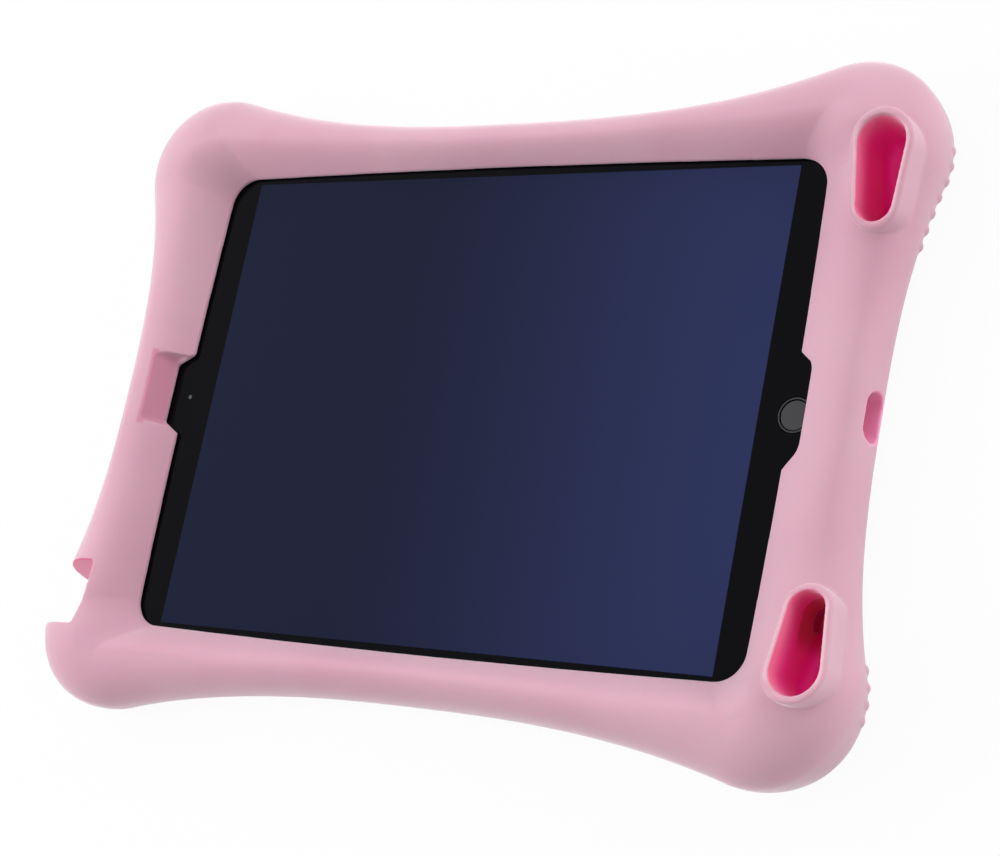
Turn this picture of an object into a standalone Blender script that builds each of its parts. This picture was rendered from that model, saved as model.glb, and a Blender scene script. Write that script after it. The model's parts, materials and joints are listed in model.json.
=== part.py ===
"""Moulded silicone bumper case for a child's tablet, with the tablet seated in it.

The case lies on its back. X runs along the tablet's length towards the home button, Y across it
towards the volume buttons, Z out of the screen. The origin is the middle of the back, on the table.
"""
import math

import bmesh
import bpy
from mathutils import Matrix, Vector

# Clearance between pieces that touch
FIT = 0.0003

# Tablet
TABLET_LENGTH = 0.2506
TABLET_WIDTH = 0.1741
TABLET_THICKNESS = 0.0075
TABLET_CORNER_RADIUS = 0.0095
HOUSING_WALL = 0.0013
HOUSING_FLOOR = 0.0010
HOUSING_EDGE_RADIUS = 0.0025
GLASS_THICKNESS = 0.0010
PANEL_THICKNESS = 0.0019
BORDER_AT_ENDS = 0.0198
BORDER_AT_SIDES = 0.00755

# Buttons, cameras and sockets of the tablet, placed from the tablet's end or its side
HOME_BUTTON_FROM_END = 0.0096
HOME_BUTTON_DIAMETER = 0.0092
HOME_BUTTON_THICKNESS = 0.0012
HOME_BUTTON_TRAVEL = 0.0003
HOME_RING_WIDTH = 0.0005
HOME_SWITCH_LENGTH = 0.0110
HOME_SWITCH_WIDTH = 0.0180
HOME_SWITCH_DOME = 0.0032
FRONT_CAMERA_FROM_END = 0.0113
FRONT_CAMERA_SIZE = 0.0070
FRONT_CAMERA_HEIGHT = 0.0040
REAR_CAMERA_FROM_END = 0.0123
REAR_CAMERA_FROM_SIDE = 0.01255
REAR_CAMERA_SIZE = 0.0090
REAR_CAMERA_HEIGHT = 0.0036
REAR_LENS_DIAMETER = 0.0060
REAR_TRIM_WIDTH = 0.0013
KEY_LENGTH = 0.0100
KEY_HEIGHT = 0.0026
KEY_DEPTH = 0.0018
KEY_PROUD = 0.0005
POWER_KEY_FROM_SIDE = 0.02205
VOLUME_KEYS_FROM_END = 0.0513
VOLUME_KEY_PITCH = 0.0140
PORT_MOUTH_LENGTH = 0.0080
PORT_MOUTH_HEIGHT = 0.0022
PORT_SHELL_WALL = 0.0006
PORT_DEPTH = 0.0050
JACK_FROM_SIDE = 0.01485
JACK_BORE = 0.0036
JACK_BARREL = 0.0049
JACK_LENGTH = 0.0140
SPEAKER_FROM_SIDE = 0.04105
SPEAKER_LENGTH = 0.0300
SPEAKER_DEPTH = 0.0085
SPEAKER_HEIGHT = 0.0042
GRILLE_HOLE = 0.0016
GRILLE_PITCH = 0.0030
GRILLE_HOLES = 7

# Inner pieces of the tablet, spread under the display
INSIDE_GAP = 0.0020
INSIDE_MARGIN = 0.0095
BATTERY_THICKNESS = 0.0027
BOARD_LENGTH = 0.0180
BOARD_THICKNESS = 0.0010
SHIELD_HEIGHT = 0.0012
SHIELD_INSET = 0.0020

# Case: floor, and the lip that reaches over the tablet's edge round the screen window
CASE_FLOOR = 0.0026
LIP_THICKNESS = 0.0012
LIP_REACH_ENDS = 0.0111
LIP_REACH_SIDES = 0.00745
WINDOW_BOW = 0.0010
WINDOW_RADIUS = 0.0095

# Case: outline seen from the front, four round corners joined by hollow sides
CORNER_FROM_END = 0.0041
CORNER_FROM_SIDE = 0.00675
CORNER_RADIUS = 0.0283
WAIST_WALL_ENDS = 0.0149
WAIST_WALL_SIDES = 0.00895
SHORT_SIDE_POWER = 2.7
LONG_SIDE_POWER = 2.6
OUTLINE_SHIFT = 0.0006

# Case: section of the rim, at the waists and at the corners
CREST_WAIST = 0.0090
CREST_CORNER = 0.0162
CREST_INSET_WAIST = 0.0078
CREST_INSET_CORNER = 0.0195
WIDEST_WAIST = 0.0074
WIDEST_CORNER = 0.0132
BACK_INSET_WAIST = 0.0078
BACK_INSET_CORNER = 0.0030
CORNER_REACH = 0.0470
CORNER_PEAK = 0.70

# Case: sound horns at the two corners beside the home button, placed from the corner's centre
HORN_WIDE_OUT = 0.0164
HORN_WIDE_IN = 0.0033
HORN_WIDE_RADIUS = 0.0076
HORN_NARROW_OUT = 0.0155
HORN_NARROW_IN = 0.0207
HORN_NARROW_RADIUS = 0.0057
HORN_RIM_WIDE = 0.0182
HORN_RIM_NARROW = 0.0150
HORN_RIM_WIDTH = 0.0012
HORN_RIM_ROUND = 0.0010
HORN_FLANK = 0.0022
HORN_WALL_TAPER = 0.0008
HORN_FLOOR_WIDE = 0.0090
HORN_FLOOR_NARROW = 0.0034
HORN_FLOOR_ROUND = 0.0035
HORN_CHANNEL_LENGTH = 0.0080
HORN_CHANNEL_HEIGHT = 0.0036

# Case: cut-outs in the lip, for the home button and for the front camera
HOME_NOTCH_FROM_END = 0.0039
HOME_NOTCH_INNER = 0.0354
HOME_NOTCH_OUTER = 0.0260
CAMERA_NOTCH_FROM_END = 0.0038
CAMERA_NOTCH_INNER = 0.0280
CAMERA_NOTCH_OUTER = 0.0204
NOTCH_Y = 0.0010
NOTCH_RADIUS = 0.0020
SCOOP_PAST_END = 0.0009
SCOOP_BELOW = 0.0122
SCOOP_ABOVE = 0.0132
SCOOP_FLOOR = 0.0018
SCOOP_RISE = 0.0060
SCOOP_RADIUS = 0.0024

# Case: openings in the sides and the back
PORT_SLOT_LENGTH = 0.0152
PORT_SLOT_HEIGHT = 0.0084
PORT_SLOT_RISE = 0.00295
JACK_NOTCH_BELOW = 0.0116
JACK_NOTCH_ABOVE = 0.0100
JACK_NOTCH_LEAN = 0.23
JACK_NOTCH_WALL = 0.0031
JACK_NOTCH_RADIUS = 0.0030
JACK_HOLE_DIAMETER = 0.0080
CAMERA_HOLE_DIAMETER = 0.0140
KEY_RELIEF = 0.0015

# Case: grip ribs low on the side of the horn corners, placed from the corner's centre
RIB_PITCH = 0.0050
UPPER_RIB_COUNT = 7
UPPER_RIB_START = 0.0268
LOWER_RIB_COUNT = 4
LOWER_RIB_START = 0.0098
RIB_RADIUS = 0.0020
RIB_INSET = 0.0003
RIB_BOTTOM = 0.0028
RIB_TOP = 0.0085
RIB_END_ROUND = 0.0009

# Heights that follow from the sizes above
TABLET_BOTTOM = CASE_FLOOR + FIT
GLASS_TOP = TABLET_BOTTOM + TABLET_THICKNESS
TABLET_MID = TABLET_BOTTOM + TABLET_THICKNESS / 2
INSIDE_FLOOR = TABLET_BOTTOM + HOUSING_FLOOR
SEAT = INSIDE_FLOOR + FIT
GLASS_BOTTOM = GLASS_TOP - GLASS_THICKNESS
LIP_UNDER = GLASS_TOP + FIT
LIP_TOP = LIP_UNDER + LIP_THICKNESS
ABOVE_ALL = GLASS_TOP + CREST_CORNER + HORN_RIM_WIDE

# Places that follow from the tablet's length and width
HALF_LENGTH = TABLET_LENGTH / 2
HALF_WIDTH = TABLET_WIDTH / 2
POCKET_HALF_X = HALF_LENGTH + FIT
POCKET_HALF_Y = HALF_WIDTH + FIT
SIDE_INSIDE_X = HALF_LENGTH - HOUSING_WALL
PANEL_LENGTH = TABLET_LENGTH - 2 * BORDER_AT_ENDS
PANEL_WIDTH = TABLET_WIDTH - 2 * BORDER_AT_SIDES
WINDOW_HALF_X = HALF_LENGTH - LIP_REACH_ENDS
WINDOW_HALF_Y = HALF_WIDTH - LIP_REACH_SIDES
CORNER_X = HALF_LENGTH - CORNER_FROM_END
CORNER_Y = HALF_WIDTH - CORNER_FROM_SIDE
WAIST_X = HALF_LENGTH + WAIST_WALL_ENDS
WAIST_Y = HALF_WIDTH + WAIST_WALL_SIDES
HORN_WIDE = Vector((CORNER_X + HORN_WIDE_OUT, CORNER_Y - HORN_WIDE_IN))
HORN_NARROW = Vector((CORNER_X + HORN_NARROW_OUT, CORNER_Y - HORN_NARROW_IN))
HOME_BUTTON_X = HALF_LENGTH - HOME_BUTTON_FROM_END
FRONT_CAMERA_X = FRONT_CAMERA_FROM_END - HALF_LENGTH
REAR_CAMERA_X = REAR_CAMERA_FROM_END - HALF_LENGTH
REAR_CAMERA_Y = HALF_WIDTH - REAR_CAMERA_FROM_SIDE
POWER_KEY_Y = HALF_WIDTH - POWER_KEY_FROM_SIDE
VOLUME_KEY_MIDDLE_X = VOLUME_KEYS_FROM_END - HALF_LENGTH
JACK_Y = JACK_FROM_SIDE - HALF_WIDTH
SPEAKER_Y = HALF_WIDTH - SPEAKER_FROM_SIDE
HOME_NOTCH_X = HALF_LENGTH - HOME_NOTCH_FROM_END
CAMERA_NOTCH_X = CAMERA_NOTCH_FROM_END - HALF_LENGTH
SCOOP_X = -HALF_LENGTH - SCOOP_PAST_END
JACK_NOTCH_X = -POCKET_HALF_X - JACK_NOTCH_WALL
PORT_SLOT_Z = TABLET_MID + PORT_SLOT_RISE
BATTERY_LENGTH = (PANEL_LENGTH - BOARD_LENGTH - 4 * INSIDE_GAP) / 2
INSIDE_WIDTH = PANEL_WIDTH - 2 * INSIDE_MARGIN

# Smoothness of curved pieces
SHORT_SIDE_STEPS = 8
CORNER_STEPS = 14
LONG_SIDE_STEPS = 10
BACK_STEPS = 4
FRONT_STEPS = 6
SLOPE_STEPS = 5
ROUND_SEGMENTS = 28
SMALL_SEGMENTS = 12
FILLET_SEGMENTS = 5

MATERIALS = {
    "silicone": ((0.69, 0.40, 0.50), 0.55, 0.0),
    "anodised aluminium": ((0.32, 0.33, 0.35), 0.35, 1.0),
    "black glass": ((0.006, 0.006, 0.007), 0.08, 0.0),
    "display": ((0.020, 0.024, 0.060), 0.15, 0.0),
    "dark plastic": ((0.06, 0.06, 0.065), 0.40, 0.0),
    "steel trim": ((0.20, 0.19, 0.18), 0.30, 1.0),
    "cell foil": ((0.05, 0.05, 0.055), 0.45, 0.0),
    "board": ((0.02, 0.06, 0.03), 0.50, 0.0),
}


def clear_scene():
    for thing in list(bpy.data.objects):
        bpy.data.objects.remove(thing, do_unlink=True)


def new_collection(name):
    collection = bpy.data.collections.new(name)
    bpy.context.scene.collection.children.link(collection)
    return collection


def material(name):
    found = bpy.data.materials.get(name)
    if found:
        return found
    colour, roughness, metallic = MATERIALS[name]
    made = bpy.data.materials.new(name)
    made.use_nodes = True
    shader = made.node_tree.nodes["Principled BSDF"]
    shader.inputs["Base Color"].default_value = (*colour, 1.0)
    shader.inputs["Roughness"].default_value = roughness
    shader.inputs["Metallic"].default_value = metallic
    made.diffuse_color = (*colour, 1.0)
    return made


def finish(mesh_edit, name, finish_name, place=(0, 0, 0)):
    """Turns an edited mesh into a named object of the product, its origin at the given place."""
    mesh = bpy.data.meshes.new(name)
    bmesh.ops.translate(mesh_edit, verts=mesh_edit.verts, vec=-Vector(place))
    bmesh.ops.recalc_face_normals(mesh_edit, faces=mesh_edit.faces)
    mesh_edit.to_mesh(mesh)
    mesh_edit.free()
    mesh.shade_smooth()
    mesh.set_sharp_from_angle(angle=math.radians(35))
    made = bpy.data.objects.new(name, mesh)
    made.location = place
    mesh.materials.append(material(finish_name))
    product.objects.link(made)
    return made


def combine(target, mesh_edit, name, operation="DIFFERENCE"):
    """Cuts a closed shape from a piece, or joins it on."""
    mesh = bpy.data.meshes.new(name)
    bmesh.ops.recalc_face_normals(mesh_edit, faces=mesh_edit.faces)
    mesh_edit.to_mesh(mesh)
    mesh_edit.free()
    tool = bpy.data.objects.new(name, mesh)
    tool.hide_render = True
    tool.display_type = "WIRE"
    cutters.objects.link(tool)
    step = target.modifiers.new(name, "BOOLEAN")
    step.operation = operation
    step.object = tool


def box(low, high, radius=0.0, segments=FILLET_SEGMENTS, axis=2):
    """A block between two corners, its edges along one axis rounded."""
    low, high = Vector(low), Vector(high)
    shape = bmesh.new()
    bmesh.ops.create_cube(shape, size=1.0)
    bmesh.ops.scale(shape, verts=shape.verts, vec=high - low)
    bmesh.ops.translate(shape, verts=shape.verts, vec=(low + high) / 2)
    if radius:
        round_edges(shape, axis, radius, segments)
    return shape


def round_edges(shape, axis, radius, segments=FILLET_SEGMENTS):
    """Rounds the edges that run mostly along one axis."""
    along = [e for e in shape.edges
             if abs((e.verts[0].co - e.verts[1].co).normalized()[axis]) > 0.99]
    bmesh.ops.bevel(shape, geom=along, offset=radius, segments=segments, profile=0.5,
                    affect="EDGES")


def rod(centre, radius, length, axis="Z", segments=ROUND_SEGMENTS):
    """A round bar about a centre, along one axis."""
    turn = {"X": Matrix.Rotation(math.pi / 2, 4, "Y"), "Y": Matrix.Rotation(math.pi / 2, 4, "X"),
            "Z": Matrix.Identity(4)}[axis]
    shape = bmesh.new()
    bmesh.ops.create_cone(shape, cap_ends=True, segments=segments, radius1=radius, radius2=radius,
                          depth=length, matrix=Matrix.Translation(centre) @ turn)
    return shape


def loft(rings):
    """Skins a row of rings that have the same number of points, and caps both ends."""
    shape = bmesh.new()
    rows = [[shape.verts.new(point) for point in ring] for ring in rings]
    for row, following in zip(rows, rows[1:]):
        for i in range(len(row)):
            j = (i + 1) % len(row)
            shape.faces.new((row[i], row[j], following[j], following[i]))
    shape.faces.new(rows[0][::-1])
    shape.faces.new(rows[-1])
    return shape


def blend(low, high, share):
    return low + (high - low) * share


def side_meets_corner(corner_along, corner_across, waist, power):
    """Where a hollow side runs into the corner circle, as an angle on that circle, and its depth.

    The side is waist + depth * along ** power, and it leaves the circle without a kink.
    """
    low, high = 0.01, 1.2
    for _ in range(50):
        angle = (low + high) / 2
        along = corner_along - CORNER_RADIUS * math.sin(angle)
        across = corner_across + CORNER_RADIUS * math.cos(angle)
        depth = (across - waist) / along ** power
        if depth * power * along ** (power - 1) > math.tan(angle):
            low = angle
        else:
            high = angle
    return angle, along, depth


def quarter_stations():
    """Stations round one quarter of the case, from the short side's waist to the long side's.

    Each one holds the outline point, and the point of a rounded rectangle that it belongs to,
    as a rule (half_x, half_y, radius, bow) -> point. The bow swells the middles of the sides.
    """
    short_angle, short_end, short_depth = side_meets_corner(CORNER_Y, CORNER_X, WAIST_X,
                                                            SHORT_SIDE_POWER)
    long_angle, long_end, long_depth = side_meets_corner(CORNER_X, CORNER_Y, WAIST_Y,
                                                         LONG_SIDE_POWER)
    stations = []
    for step in range(SHORT_SIDE_STEPS):
        share = step / SHORT_SIDE_STEPS
        y = short_end * share
        x = WAIST_X + short_depth * y ** SHORT_SIDE_POWER
        stations.append((x, y, lambda hx, hy, r, bow, s=share: (hx + bow * (1 - s * s),
                                                                (hy - r) * s)))
    for step in range(CORNER_STEPS + 1):
        share = step / CORNER_STEPS
        angle = blend(-short_angle, math.pi / 2 + long_angle, share)
        x = CORNER_X + CORNER_RADIUS * math.cos(angle)
        y = CORNER_Y + CORNER_RADIUS * math.sin(angle)
        turn = share * math.pi / 2
        stations.append((x, y, lambda hx, hy, r, bow, a=turn: (hx - r + r * math.cos(a),
                                                               hy - r + r * math.sin(a))))
    for step in range(1, LONG_SIDE_STEPS + 1):
        share = 1 - step / LONG_SIDE_STEPS
        x = long_end * share
        y = WAIST_Y + long_depth * x ** LONG_SIDE_POWER
        stations.append((x, y, lambda hx, hy, r, bow, s=share: ((hx - r) * s,
                                                                hy + bow * (1 - s * s))))
    return stations


def case_stations():
    """All the stations: outline point, inward direction, nearness to a corner, inner rule."""
    quarter = quarter_stations()
    ring = []
    for flip_x, flip_y in ((1, 1), (-1, 1), (-1, -1), (1, -1)):
        part = quarter[:-1] if flip_x * flip_y > 0 else quarter[:0:-1]
        for x, y, rule in part:
            ring.append((x * flip_x, y * flip_y, flip_x, flip_y, rule))
    stations = []
    peak_x = CORNER_X + CORNER_PEAK * CORNER_RADIUS
    peak_y = CORNER_Y + CORNER_PEAK * CORNER_RADIUS
    for i, (x, y, flip_x, flip_y, rule) in enumerate(ring):
        before, after = ring[i - 1], ring[(i + 1) % len(ring)]
        along = Vector((after[0] - before[0], after[1] - before[1])).normalized()
        inward = Vector((-along.y, along.x))
        distance = math.hypot(abs(x) - peak_x, abs(y) - peak_y)
        nearness = math.exp(-(distance / CORNER_REACH) ** 2)
        stations.append((Vector((x + OUTLINE_SHIFT, y)), inward, nearness, flip_x, flip_y, rule))
    return stations


def case_rings():
    """Rings of the case from the flat back, round the rim, over the lip and into the pocket."""
    rings = [[] for _ in range(1 + BACK_STEPS + FRONT_STEPS + SLOPE_STEPS + 3)]
    for outline, inward, nearness, flip_x, flip_y, rule in case_stations():
        crest_height = GLASS_TOP + blend(CREST_WAIST, CREST_CORNER, nearness)
        crest_inset = blend(CREST_INSET_WAIST, CREST_INSET_CORNER, nearness)
        widest = blend(WIDEST_WAIST, WIDEST_CORNER, nearness)
        back_inset = blend(BACK_INSET_WAIST, BACK_INSET_CORNER, nearness)
        lip = rule(WINDOW_HALF_X, WINDOW_HALF_Y, WINDOW_RADIUS, WINDOW_BOW)
        lip = Vector((lip[0] * flip_x, lip[1] * flip_y))
        pocket = rule(POCKET_HALF_X, POCKET_HALF_Y, TABLET_CORNER_RADIUS + FIT, 0.0)
        pocket = Vector((pocket[0] * flip_x, pocket[1] * flip_y))
        points = []
        for step in range(BACK_STEPS + 1):
            turn = math.pi / 2 * (1 - step / BACK_STEPS)
            place = outline + inward * back_inset * (1 - math.cos(turn))
            points.append((place, widest * (1 - math.sin(turn))))
        for step in range(1, FRONT_STEPS + 1):
            turn = math.pi / 2 * (1 - step / FRONT_STEPS)
            place = outline + inward * crest_inset * (1 - math.sin(turn))
            points.append((place, widest + (crest_height - widest) * math.cos(turn)))
        crest = outline + inward * crest_inset
        for step in range(1, SLOPE_STEPS + 1):
            share = 1 - step / SLOPE_STEPS
            rise = math.sin(math.pi / 2 * share)
            points.append((lip.lerp(crest, share), blend(LIP_TOP, crest_height, rise)))
        points.append((lip, LIP_UNDER))
        points.append((pocket, LIP_UNDER))
        points.append((pocket, CASE_FLOOR))
        for ring, (place, height) in zip(rings, points):
            ring.append((place.x, place.y, height))
    return rings


def horn_ring(side, margin, height_wide, height_narrow):
    """A ring round a sound horn: two unlike half circles in a plane that slopes between its ends."""
    way = HORN_WIDE - HORN_NARROW
    lean = math.asin((HORN_WIDE_RADIUS - HORN_NARROW_RADIUS) / way.length)
    heading = math.atan2(way.y, way.x)
    half = ROUND_SEGMENTS // 2
    ring = []
    for centre, radius, start, sweep in (
            (HORN_WIDE, HORN_WIDE_RADIUS, heading - math.pi / 2 - lean, math.pi + 2 * lean),
            (HORN_NARROW, HORN_NARROW_RADIUS, heading + math.pi / 2 + lean, math.pi - 2 * lean)):
        for step in range(half + 1):
            angle = start + sweep * step / half
            x = centre.x + (radius + margin) * math.cos(angle)
            y = centre.y + (radius + margin) * math.sin(angle)
            share = (y - HORN_NARROW.y) / way.y
            ring.append((x, y * side, blend(height_narrow, height_wide, share)))
    return ring if side > 0 else ring[::-1]


def horn_collar(side):
    """The raised collar round a sound horn, from inside the corner up to its rounded rim."""
    wide, narrow = GLASS_TOP + HORN_RIM_WIDE, GLASS_TOP + HORN_RIM_NARROW
    rings = [horn_ring(side, HORN_FLANK, WIDEST_CORNER, WIDEST_CORNER)]
    for step in range(4):
        turn = math.pi / 2 * step / 3
        margin = HORN_RIM_WIDTH + HORN_RIM_ROUND * math.cos(turn) - HORN_RIM_ROUND
        drop = HORN_RIM_ROUND * (1 - math.sin(turn))
        rings.append(horn_ring(side, margin + HORN_RIM_ROUND, wide - drop, narrow - drop))
    return loft(rings)


def horn_bore(side):
    """The open horn inside the collar: a rounded floor climbs from the narrow to the wide end."""
    rings = []
    for step in range(4):
        turn = math.pi / 2 * step / 3
        margin = -HORN_WALL_TAPER - HORN_FLOOR_ROUND * (1 - math.sin(turn))
        rise = HORN_FLOOR_ROUND * (1 - math.cos(turn))
        rings.append(horn_ring(side, margin, HORN_FLOOR_WIDE + rise, HORN_FLOOR_NARROW + rise))
    rings.append(horn_ring(side, 0.0, GLASS_TOP + HORN_RIM_WIDE, GLASS_TOP + HORN_RIM_NARROW))
    rings.append(horn_ring(side, 0.0, ABOVE_ALL, ABOVE_ALL))
    return loft(rings)


def lip_notch(outer_x, inner_length, outer_length):
    """A cut in the lip with slanted ends, from inside the window out to a given place."""
    window_x = WINDOW_HALF_X + WINDOW_BOW
    mouth = math.copysign(window_x - NOTCH_RADIUS, outer_x)
    slant = (inner_length - outer_length) / (abs(outer_x) - window_x)
    mouth_length = inner_length + slant * NOTCH_RADIUS
    shape = bmesh.new()
    bmesh.ops.create_cube(shape, size=2.0)
    for vert in shape.verts:
        outside = vert.co.x > 0
        vert.co.y = NOTCH_Y + vert.co.y * (outer_length if outside else mouth_length) / 2
        vert.co.x = outer_x if outside else mouth
        vert.co.z = ABOVE_ALL if vert.co.z > 0 else GLASS_TOP + FIT / 2
    corners = [e for e in shape.edges
               if all(abs(v.co.x - outer_x) < FIT for v in e.verts)
               and abs(e.verts[0].co.z - e.verts[1].co.z) > FIT]
    bmesh.ops.bevel(shape, geom=corners, offset=NOTCH_RADIUS, segments=FILLET_SEGMENTS,
                    profile=0.5, affect="EDGES")
    return shape


def make_case():
    """The case is one moulding: a lofted rim, lip, pocket and floor, with its cut-outs."""
    case = finish(loft(case_rings()), "silicone_case", "silicone")
    add_ribs(case)
    pocket_edge = POCKET_HALF_X - FIT * 4
    beyond = CORNER_X + CORNER_RADIUS * 1.5
    for side, name in ((1, "upper"), (-1, "lower")):
        combine(case, horn_collar(side), f"{name}_horn_collar", "UNION")
    for side, name in ((1, "upper"), (-1, "lower")):
        combine(case, horn_bore(side), f"{name}_horn_bore")
        middle = side * (HORN_NARROW.y - HORN_NARROW_RADIUS + HORN_CHANNEL_LENGTH / 2)
        channel = box((pocket_edge, middle - HORN_CHANNEL_LENGTH / 2,
                       TABLET_MID - HORN_CHANNEL_HEIGHT / 2),
                      (HORN_NARROW.x, middle + HORN_CHANNEL_LENGTH / 2,
                       TABLET_MID + HORN_CHANNEL_HEIGHT / 2),
                      HORN_CHANNEL_HEIGHT / 3, axis=0)
        combine(case, channel, f"{name}_sound_channel")
    combine(case, lip_notch(HOME_NOTCH_X, HOME_NOTCH_INNER, HOME_NOTCH_OUTER), "home_notch")
    combine(case, lip_notch(CAMERA_NOTCH_X, CAMERA_NOTCH_INNER, CAMERA_NOTCH_OUTER),
            "camera_notch")
    scoop_floor = GLASS_TOP + SCOOP_FLOOR
    scoop = box((SCOOP_X, NOTCH_Y - SCOOP_BELOW, scoop_floor),
                (SCOOP_RADIUS - WINDOW_HALF_X, NOTCH_Y + SCOOP_ABOVE, ABOVE_ALL), SCOOP_RADIUS)
    for vert in scoop.verts:
        if vert.co.x < CAMERA_NOTCH_X:
            share = 1 - (vert.co.z - scoop_floor) / SCOOP_RISE
            vert.co.x += (CAMERA_NOTCH_X - SCOOP_X) * share
    combine(case, scoop, "camera_scoop")
    port = box((pocket_edge, -PORT_SLOT_LENGTH / 2, PORT_SLOT_Z - PORT_SLOT_HEIGHT / 2),
               (beyond, PORT_SLOT_LENGTH / 2, PORT_SLOT_Z + PORT_SLOT_HEIGHT / 2),
               PORT_SLOT_HEIGHT * 0.499, axis=0)
    combine(case, port, "port_slot")
    jack = box((-beyond, JACK_Y - JACK_NOTCH_BELOW, -CASE_FLOOR),
               (JACK_NOTCH_X, JACK_Y + JACK_NOTCH_ABOVE, ABOVE_ALL), JACK_NOTCH_RADIUS)
    for vert in jack.verts:
        if vert.co.y > JACK_Y:
            vert.co.y += JACK_NOTCH_LEAN * (vert.co.z - GLASS_TOP - CREST_WAIST)
    combine(case, jack, "jack_notch")
    plug_way = abs(JACK_NOTCH_X) + CASE_FLOOR - pocket_edge
    combine(case, rod((-(pocket_edge + plug_way / 2), JACK_Y, TABLET_MID),
                      JACK_HOLE_DIAMETER / 2, plug_way, "X"), "jack_hole")
    combine(case, rod((REAR_CAMERA_X, REAR_CAMERA_Y, CASE_FLOOR / 2), CAMERA_HOLE_DIAMETER / 2,
                      CASE_FLOOR * 2), "camera_hole")
    for name, (low, high) in key_boxes().items():
        margin = Vector((KEY_RELIEF,) * 3)
        relief = box(low - margin, high + margin)
        combine(case, relief, f"{name}_relief")


def add_ribs(case):
    """Upright grip ribs with round ends, in a row along the side of each horn corner."""
    outline = [place for place, *_ in case_stations()[:SHORT_SIDE_STEPS + CORNER_STEPS]]
    for side, name, start, count in ((1, "upper", UPPER_RIB_START, UPPER_RIB_COUNT),
                                     (-1, "lower", LOWER_RIB_START, LOWER_RIB_COUNT)):
        for i in range(count):
            y = CORNER_Y - start + RIB_PITCH * i
            before, after = next(pair for pair in zip(outline, outline[1:]) if pair[1].y > y)
            along = (after - before).normalized()
            centre = (before.lerp(after, (y - before.y) / (after.y - before.y))
                      + Vector((-along.y, along.x)) * (RIB_RADIUS + RIB_INSET))
            rib = rod((centre.x, side * centre.y, (RIB_BOTTOM + RIB_TOP) / 2),
                      RIB_RADIUS, RIB_TOP - RIB_BOTTOM, segments=SMALL_SEGMENTS)
            ends = [e for e in rib.edges if abs(e.verts[0].co.z - e.verts[1].co.z) < FIT]
            bmesh.ops.bevel(rib, geom=ends, offset=RIB_END_ROUND, segments=2, profile=0.5,
                            affect="EDGES")
            combine(case, rib, f"{name}_rib_{i + 1}", "UNION")


def key_boxes():
    """Corners of the three side keys: power on the short side, two for volume on the long side."""
    half_length, half_height = KEY_LENGTH / 2, KEY_HEIGHT / 2
    outer_x = -(HALF_LENGTH + KEY_PROUD)
    outer_y = HALF_WIDTH + KEY_PROUD
    keys = {"power_button": (
        Vector((outer_x, POWER_KEY_Y - half_length, TABLET_MID - half_height)),
        Vector((outer_x + KEY_DEPTH, POWER_KEY_Y + half_length, TABLET_MID + half_height)))}
    for name, side in (("volume_up_button", -0.5), ("volume_down_button", 0.5)):
        middle = VOLUME_KEY_MIDDLE_X + side * VOLUME_KEY_PITCH
        keys[name] = (
            Vector((middle - half_length, outer_y - KEY_DEPTH, TABLET_MID - half_height)),
            Vector((middle + half_length, outer_y, TABLET_MID + half_height)))
    return keys


def make_housing():
    """Aluminium tray with rounded back edges, pierced for keys, sockets, speakers and camera."""
    tray = box((-HALF_LENGTH, -HALF_WIDTH, TABLET_BOTTOM), (HALF_LENGTH, HALF_WIDTH, GLASS_TOP),
               TABLET_CORNER_RADIUS, FILLET_SEGMENTS + 2)
    rim = [e for e in tray.edges if all(abs(v.co.z - TABLET_BOTTOM) < FIT / 2 for v in e.verts)
           and len(e.link_faces) == 2 and e.calc_face_angle() > 1]
    bmesh.ops.bevel(tray, geom=rim, offset=HOUSING_EDGE_RADIUS, segments=4, profile=0.5,
                    affect="EDGES")
    housing = finish(tray, "tablet_housing", "anodised aluminium")
    inner_y = HALF_WIDTH - HOUSING_WALL
    combine(housing, box((-SIDE_INSIDE_X, -inner_y, INSIDE_FLOOR),
                         (SIDE_INSIDE_X, inner_y, GLASS_TOP + HOUSING_WALL),
                         TABLET_CORNER_RADIUS - HOUSING_WALL), "housing_inside")
    gap = Vector((FIT,) * 3)
    for name, (low, high) in key_boxes().items():
        combine(housing, box(low - gap, high + gap), f"{name}_slot")
    combine(housing, box((SIDE_INSIDE_X - FIT, -PORT_MOUTH_LENGTH / 2,
                          TABLET_MID - PORT_MOUTH_HEIGHT / 2),
                         (HALF_LENGTH + FIT, PORT_MOUTH_LENGTH / 2,
                          TABLET_MID + PORT_MOUTH_HEIGHT / 2),
                         PORT_MOUTH_HEIGHT * 0.49, axis=0), "port_mouth")
    wall_middle = HALF_LENGTH - HOUSING_WALL / 2
    combine(housing, rod((-wall_middle, JACK_Y, TABLET_MID), JACK_BORE / 2, HOUSING_WALL * 2, "X",
                         SMALL_SEGMENTS), "jack_mouth")
    combine(housing, rod((REAR_CAMERA_X, REAR_CAMERA_Y, TABLET_BOTTOM),
                         REAR_LENS_DIAMETER / 2 + REAR_TRIM_WIDTH + 2 * FIT, HOUSING_FLOOR * 4),
            "rear_camera_mouth")
    for side, name in ((1, "upper"), (-1, "lower")):
        for i in range(GRILLE_HOLES):
            y = side * SPEAKER_Y + (i - (GRILLE_HOLES - 1) / 2) * GRILLE_PITCH
            hole = rod((wall_middle, y, TABLET_MID), GRILLE_HOLE / 2, HOUSING_WALL * 2, "X",
                       SMALL_SEGMENTS)
            combine(housing, hole, f"{name}_speaker_hole_{i + 1}")


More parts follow.
